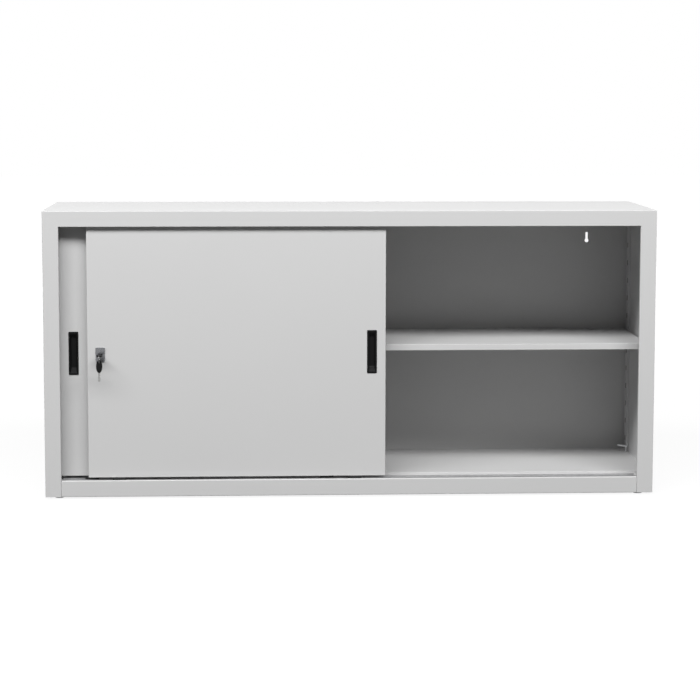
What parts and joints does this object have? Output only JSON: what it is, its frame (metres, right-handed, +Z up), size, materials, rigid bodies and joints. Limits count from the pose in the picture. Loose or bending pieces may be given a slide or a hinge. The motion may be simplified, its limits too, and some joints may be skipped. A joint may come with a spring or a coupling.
{
  "type": "sliding door cabinet",
  "caption": "Low steel storage cabinet with two overlapping sliding doors on rollers, adjustable shelves in two bays, recessed pulls and a key lock.",
  "frame": {"origin": "on the floor under the middle of the overall box, with the key in the lock", "axes": "+X to the right as seen from the front, +Y towards the back, +Z up; the doors are at -Y"},
  "size_m": [1.8, 0.4906, 0.85],
  "materials": {
    "light_grey_paint": "fine textured powder coat, light grey",
    "zinc_plated_steel": "bright zinc plating",
    "galvanised_steel": "galvanised sheet",
    "chromed_zinc": "satin chrome on die cast zinc",
    "nickel_silver": "nickel plated",
    "black_plastic": "moulded ABS",
    "black_key_plastic": "moulded nylon",
    "black_foot_plastic": "moulded polyethylene",
    "white_nylon": "moulded nylon",
    "black_guide_plastic": "moulded acetal",
    "stop_rubber": "moulded rubber"
  },
  "bodies": {
    "root": {"side_panel_left": "light_grey_paint", "side_panel_right": "light_grey_paint", "top_panel": "light_grey_paint", "bottom_rail": "light_grey_paint", "bottom_panel": "light_grey_paint", "back_panel": "light_grey_paint", "upright_front_left": "light_grey_paint", "upright_front_right": "light_grey_paint", "upright_back_left": "light_grey_paint", "upright_back_right": "light_grey_paint", "partition": "light_grey_paint", "shelf_left": "light_grey_paint", "shelf_right": "light_grey_paint", "shelf_clips_left": "zinc_plated_steel", "shelf_clips_right": "zinc_plated_steel", "spare_shelf_clip": "zinc_plated_steel", "foot_plates": "zinc_plated_steel", "feet": "black_foot_plastic", "top_track": "galvanised_steel", "track_rivets": "zinc_plated_steel", "track_stops": "stop_rubber", "bottom_track": "galvanised_steel"},
    "front_door": {"front_door_panel": "light_grey_paint", "front_door_back": "light_grey_paint", "front_door_stiffener": "galvanised_steel", "front_door_pull": "black_plastic", "front_door_hangers": "zinc_plated_steel", "front_door_hanger_screws": "zinc_plated_steel", "front_door_axles": "zinc_plated_steel", "front_door_guides": "black_guide_plastic", "lock_body": "chromed_zinc", "lock_nut": "zinc_plated_steel"},
    "rear_door": {"rear_door_panel": "light_grey_paint", "rear_door_back": "light_grey_paint", "rear_door_stiffener": "galvanised_steel", "rear_door_pull": "black_plastic", "rear_door_hangers": "zinc_plated_steel", "rear_door_hanger_screws": "zinc_plated_steel", "rear_door_axles": "zinc_plated_steel", "rear_door_guides": "black_guide_plastic", "strike": "zinc_plated_steel", "strike_screws": "zinc_plated_steel"},
    "front_roller_left": {"front_door_roller_left": "white_nylon"},
    "front_roller_right": {"front_door_roller_right": "white_nylon"},
    "rear_roller_left": {"rear_door_roller_left": "white_nylon"},
    "rear_roller_right": {"rear_door_roller_right": "white_nylon"},
    "lock_turning_parts": {"lock_plug": "chromed_zinc", "lock_cam": "zinc_plated_steel", "cam_screw": "zinc_plated_steel", "key_blade": "nickel_silver", "key_head": "black_key_plastic", "key_ring": "nickel_silver"},
    "spare_key": {"spare_key_blade": "nickel_silver", "spare_key_head": "black_key_plastic"}
  },
  "joints": [
    {"name": "front_door_slide", "type": "slide", "parent": "root", "child": "front_door", "axis": [1, 0, 0], "range_m": [0, 0.755]},
    {"name": "rear_door_slide", "type": "slide", "parent": "root", "child": "rear_door", "axis": [1, 0, 0], "range_m": [0, 0.755]},
    {"name": "front_roller_left_spin", "type": "hinge", "parent": "front_door", "child": "front_roller_left", "pos_m": [-0.684, -0.18272, 0.836], "axis": [0, 1, 0], "range_deg": [-5, 4331]},
    {"name": "front_roller_right_spin", "type": "hinge", "parent": "front_door", "child": "front_roller_right", "pos_m": [0.012, -0.18272, 0.836], "axis": [0, 1, 0], "range_deg": [-5, 4331]},
    {"name": "rear_roller_left_spin", "type": "hinge", "parent": "rear_door", "child": "rear_roller_left", "pos_m": [-0.767, -0.15373, 0.836], "axis": [0, 1, 0], "range_deg": [-5, 4331]},
    {"name": "rear_roller_right_spin", "type": "hinge", "parent": "rear_door", "child": "rear_roller_right", "pos_m": [-0.071, -0.15373, 0.836], "axis": [0, 1, 0], "range_deg": [-5, 4331]},
    {"name": "lock_turn", "type": "hinge", "parent": "front_door", "child": "lock_turning_parts", "pos_m": [-0.736, -0.19173, 0.428], "axis": [0, -1, 0], "range_deg": [0, 90]},
    {"name": "spare_key_swing", "type": "hinge", "parent": "lock_turning_parts", "child": "spare_key", "pos_m": [-0.736, -0.23557, 0.41325], "axis": [0, -1, 0], "range_deg": [-90, 0]}
  ],
  "couplings": [
    {"joint": "front_roller_left_spin", "follows": "front_door_slide", "rad_per_m": 100},
    {"joint": "front_roller_right_spin", "follows": "front_door_slide", "rad_per_m": 100},
    {"joint": "rear_roller_left_spin", "follows": "rear_door_slide", "rad_per_m": 100},
    {"joint": "rear_roller_right_spin", "follows": "rear_door_slide", "rad_per_m": 100},
    {"joint": "spare_key_swing", "follows": "lock_turn", "ratio": -1}
  ]
}
